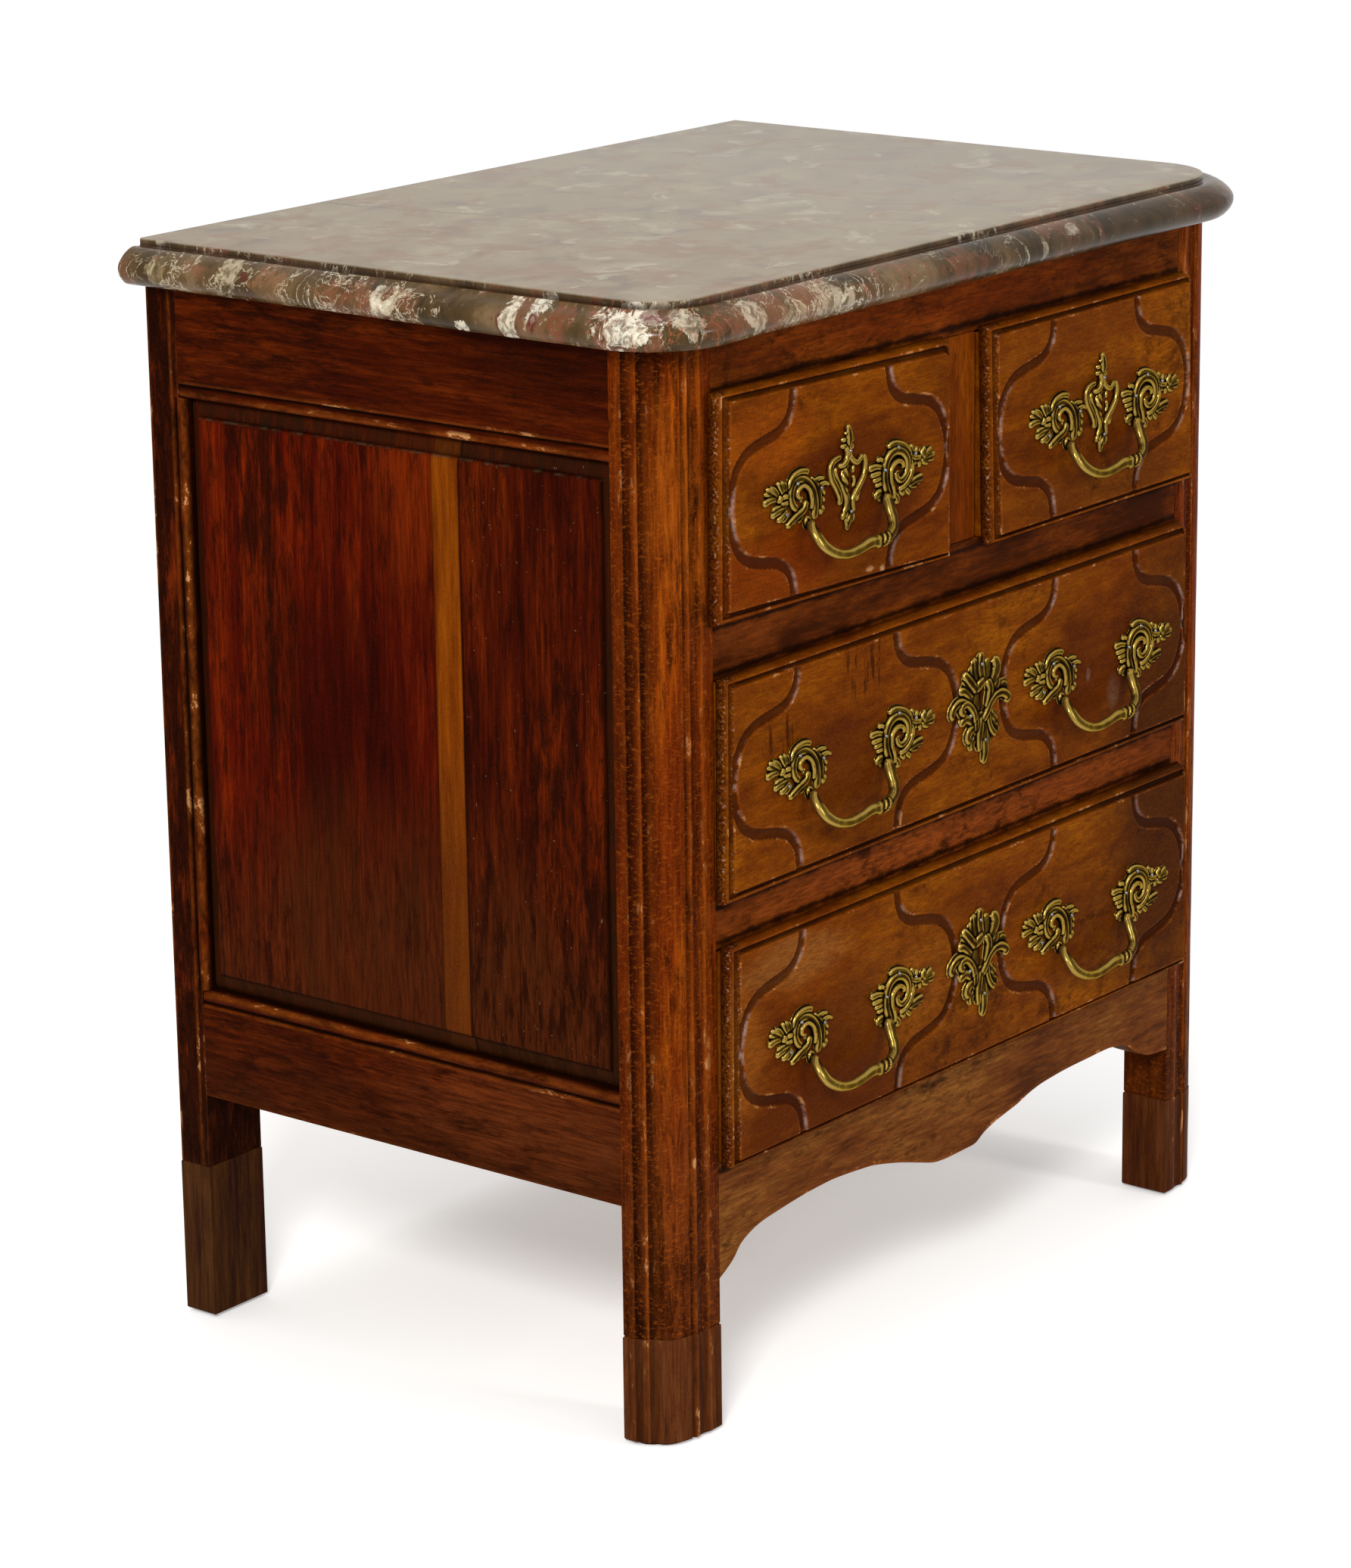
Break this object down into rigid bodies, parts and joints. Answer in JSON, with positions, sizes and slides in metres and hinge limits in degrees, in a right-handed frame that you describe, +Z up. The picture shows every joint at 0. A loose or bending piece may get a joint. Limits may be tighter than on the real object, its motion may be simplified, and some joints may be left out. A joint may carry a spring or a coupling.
{
  "type": "commode chest",
  "caption": "Small marble-topped wooden chest of drawers with two short drawers over two long ones, brass bail handles and locks.",
  "frame": {"origin": "on the floor under the middle of the chest's bounding box", "axes": "+X to the chest's left-to-right as seen from the front, -Y the front with the drawers, +Z up"},
  "size_m": [0.7754, 0.5226, 0.85],
  "materials": {
    "marble": "polished",
    "carcass_wood": "stained and waxed",
    "panel_wood": "stained and waxed",
    "strip_wood": "stained and waxed",
    "drawer_wood": "waxed",
    "inner_wood": "bare",
    "brass": "aged satin",
    "iron": "bare forged"
  },
  "bodies": {
    "carcass": {"marble_top": "marble", "front_left_post": "carcass_wood", "front_right_post": "carcass_wood", "rear_left_post": "carcass_wood", "rear_right_post": "carcass_wood", "front_left_foot": "carcass_wood", "front_right_foot": "carcass_wood", "rear_left_foot": "carcass_wood", "rear_right_foot": "carcass_wood", "left_top_rail": "carcass_wood", "left_bottom_rail": "carcass_wood", "right_top_rail": "carcass_wood", "right_bottom_rail": "carcass_wood", "left_panel_rear_board": "panel_wood", "left_panel_middle_strip": "strip_wood", "left_panel_front_board": "panel_wood", "right_panel": "panel_wood", "front_top_rail": "carcass_wood", "upper_drawer_rail": "carcass_wood", "lower_drawer_rail": "carcass_wood", "front_apron": "carcass_wood", "drawer_divider": "drawer_wood", "back_top_rail": "inner_wood", "left_back_board": "inner_wood", "middle_back_board": "inner_wood", "right_back_board": "inner_wood", "upper_runner_frame": "inner_wood", "middle_runner_frame": "inner_wood", "lower_runner_frame": "inner_wood"},
    "small_left_drawer": {"small_left_drawer_front": "drawer_wood", "small_left_drawer_carcass": "inner_wood", "small_left_drawer_bottom": "inner_wood", "small_left_escutcheon": "brass", "small_left_lock_case": "iron", "small_left_handle": "brass"},
    "small_left_bolt": {"small_left_lock_bolt": "iron"},
    "small_right_drawer": {"small_right_drawer_front": "drawer_wood", "small_right_drawer_carcass": "inner_wood", "small_right_drawer_bottom": "inner_wood", "small_right_escutcheon": "brass", "small_right_lock_case": "iron", "small_right_handle": "brass"},
    "small_right_bolt": {"small_right_lock_bolt": "iron"},
    "upper_long_drawer": {"upper_long_drawer_front": "drawer_wood", "upper_long_drawer_carcass": "inner_wood", "upper_long_drawer_bottom": "inner_wood", "upper_long_escutcheon": "brass", "upper_long_lock_case": "iron", "upper_long_left_handle": "brass", "upper_long_right_handle": "brass"},
    "upper_long_bolt": {"upper_long_lock_bolt": "iron"},
    "lower_long_drawer": {"lower_long_drawer_front": "drawer_wood", "lower_long_drawer_carcass": "inner_wood", "lower_long_drawer_bottom": "inner_wood", "lower_long_escutcheon": "brass", "lower_long_lock_case": "iron", "lower_long_left_handle": "brass", "lower_long_right_handle": "brass"},
    "lower_long_bolt": {"lower_long_lock_bolt": "iron"}
  },
  "joints": [
    {"name": "small_left_drawer_slide", "type": "slide", "parent": "carcass", "child": "small_left_drawer", "axis": [0, -1, 0], "range_m": [0, 0.34]},
    {"name": "small_left_bolt_slide", "type": "slide", "parent": "small_left_drawer", "child": "small_left_bolt", "axis": [0, 0, 1], "range_m": [0, 0.008]},
    {"name": "small_right_drawer_slide", "type": "slide", "parent": "carcass", "child": "small_right_drawer", "axis": [0, -1, 0], "range_m": [0, 0.34]},
    {"name": "small_right_bolt_slide", "type": "slide", "parent": "small_right_drawer", "child": "small_right_bolt", "axis": [0, 0, 1], "range_m": [0, 0.008]},
    {"name": "upper_long_drawer_slide", "type": "slide", "parent": "carcass", "child": "upper_long_drawer", "axis": [0, -1, 0], "range_m": [0, 0.34]},
    {"name": "upper_long_bolt_slide", "type": "slide", "parent": "upper_long_drawer", "child": "upper_long_bolt", "axis": [0, 0, 1], "range_m": [0, 0.008]},
    {"name": "lower_long_drawer_slide", "type": "slide", "parent": "carcass", "child": "lower_long_drawer", "axis": [0, -1, 0], "range_m": [0, 0.34]},
    {"name": "lower_long_bolt_slide", "type": "slide", "parent": "lower_long_drawer", "child": "lower_long_bolt", "axis": [0, 0, 1], "range_m": [0, 0.008]}
  ]
}
